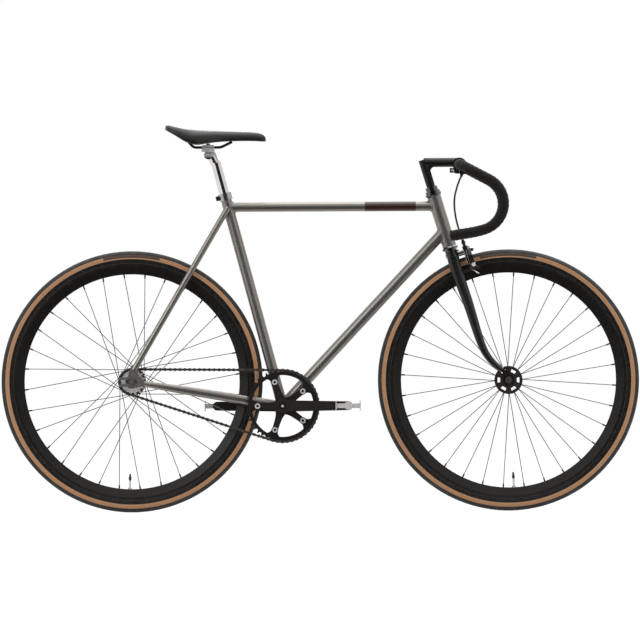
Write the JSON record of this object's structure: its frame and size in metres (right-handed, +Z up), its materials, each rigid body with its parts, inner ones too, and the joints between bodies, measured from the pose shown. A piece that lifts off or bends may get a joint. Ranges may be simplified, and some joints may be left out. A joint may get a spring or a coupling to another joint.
{
  "type": "fixed gear bike",
  "caption": "Fixed gear bike with a plain steel frame, drop bar, deep rims, tan-wall tyres and a front brake; it steers, rolls, pedals and brakes, and the seat slides.",
  "frame": {"origin": "on the ground in the middle plane, half way between the two axles", "axes": "+X forward along the bike, +Y to the rider's left, +Z up"},
  "size_m": [1.6545, 0.4276, 1.0038],
  "materials": {
    "frame_paint": "satin",
    "fork_paint": "gloss",
    "black_alloy": "satin",
    "silver_alloy": "polished",
    "steel": "satin",
    "dark_steel": "oiled",
    "tyre": "matte",
    "rubber": "matte",
    "bar_tape": "matte",
    "housing": "gloss",
    "saddle_skin": "satin",
    "saddle_plastic": "matte"
  },
  "bodies": {
    "frame": {"head_tube": "frame_paint", "top_tube": "frame_paint", "down_tube": "frame_paint", "seat_tube": "frame_paint", "bottom_bracket_shell": "frame_paint", "chain_stays": "frame_paint", "seat_stays": "frame_paint", "rear_dropouts": "frame_paint", "headset_cups": "black_alloy", "seat_clamp": "silver_alloy", "bottom_bracket_cups": "steel", "rear_axle": "steel", "chain_outer_links": "dark_steel", "chain_inner_links": "dark_steel"},
    "fork": {"fork_steerer": "steel", "fork_crown": "fork_paint", "fork_blades": "fork_paint", "headset_races": "black_alloy", "stem": "black_alloy", "stem_bolts": "steel", "handlebar": "black_alloy", "bar_tape": "bar_tape", "brake_lever_bracket": "black_alloy", "brake_cable_housing": "housing", "front_axle": "steel", "brake_pivot_bolt": "steel", "brake_spring": "steel", "brake_cable": "steel"},
    "brake_lever": {"brake_lever": "black_alloy"},
    "brake_arm_left": {"brake_arm_left": "black_alloy", "brake_pad_left": "rubber"},
    "brake_arm_right": {"brake_arm_right": "black_alloy", "brake_pad_right": "rubber"},
    "front_wheel": {"front_tyre": "tyre", "front_inner_tube": "rubber", "front_rim": "black_alloy", "front_spokes": "steel", "front_nipples": "dark_steel", "front_hub": "black_alloy"},
    "rear_wheel": {"rear_tyre": "tyre", "rear_inner_tube": "rubber", "rear_rim": "black_alloy", "rear_spokes": "steel", "rear_nipples": "dark_steel", "rear_hub": "silver_alloy", "rear_cog": "steel", "rear_lockring": "steel"},
    "crank": {"bottom_bracket_spindle": "steel", "crank_right": "black_alloy", "crank_left": "black_alloy", "chainring": "black_alloy", "crank_bolts": "steel", "pedal_axles": "steel"},
    "pedal_right": {"pedal_right": "silver_alloy"},
    "pedal_left": {"pedal_left": "silver_alloy"},
    "seatpost": {"seatpost": "silver_alloy", "saddle_clamp": "silver_alloy", "saddle_rails": "dark_steel", "saddle_base": "saddle_plastic", "saddle_cover": "saddle_skin"}
  },
  "joints": [
    {"name": "steering", "type": "hinge", "parent": "frame", "child": "fork", "pos_m": [0.44713, 0, 0.32643], "axis": [-0.2924, 0, 0.9563], "range_deg": [-70, 70]},
    {"name": "front_wheel_spin", "type": "hinge", "parent": "fork", "child": "front_wheel", "pos_m": [0.48825, 0, 0.339], "axis": [0, 1, 0], "continuous": true},
    {"name": "rear_wheel_spin", "type": "hinge", "parent": "frame", "child": "rear_wheel", "pos_m": [-0.48825, 0, 0.339], "axis": [0, 1, 0], "continuous": true, "deforming": ["chain_outer_links", "chain_inner_links"]},
    {"name": "crank_spin", "type": "hinge", "parent": "frame", "child": "crank", "pos_m": [-0.09816, 0, 0.2745], "axis": [0, 1, 0], "continuous": true, "deforming": ["chain_outer_links", "chain_inner_links"]},
    {"name": "pedal_right_spin", "type": "hinge", "parent": "crank", "child": "pedal_right", "pos_m": [0.07184, -0.119, 0.2745], "axis": [0, 1, 0], "continuous": true},
    {"name": "pedal_left_spin", "type": "hinge", "parent": "crank", "child": "pedal_left", "pos_m": [-0.26816, 0.119, 0.2745], "axis": [0, 1, 0], "continuous": true},
    {"name": "brake_lever_pull", "type": "hinge", "parent": "fork", "child": "brake_lever", "pos_m": [0.3898, -0.072, 0.8828], "axis": [0, 0, -1], "range_deg": [0, 13], "stiffness_Nm_per_rad": 0.8, "springref_deg": -8.59, "deforming": ["brake_spring", "brake_cable"]},
    {"name": "brake_arm_right_swing", "type": "hinge", "parent": "fork", "child": "brake_arm_right", "pos_m": [0.34392, 0, 0.664], "axis": [0.9563, 0, 0.2924], "range_deg": [0, 1.7], "deforming": ["brake_spring", "brake_cable"]},
    {"name": "brake_arm_left_swing", "type": "hinge", "parent": "fork", "child": "brake_arm_left", "pos_m": [0.34392, 0, 0.664], "axis": [-0.9563, 0, -0.2924], "range_deg": [0, 1.7], "deforming": ["brake_spring", "brake_cable"]},
    {"name": "seatpost_height", "type": "slide", "parent": "frame", "child": "seatpost", "axis": [-0.2588, 0, 0.9659], "range_m": [-0.05, 0.09]}
  ],
  "couplings": [
    {"joint": "crank_spin", "follows": "rear_wheel_spin", "ratio": 0.34783},
    {"joint": "brake_arm_right_swing", "follows": "brake_lever_pull", "ratio": 0.13077},
    {"joint": "brake_arm_left_swing", "follows": "brake_lever_pull", "ratio": 0.13077}
  ]
}
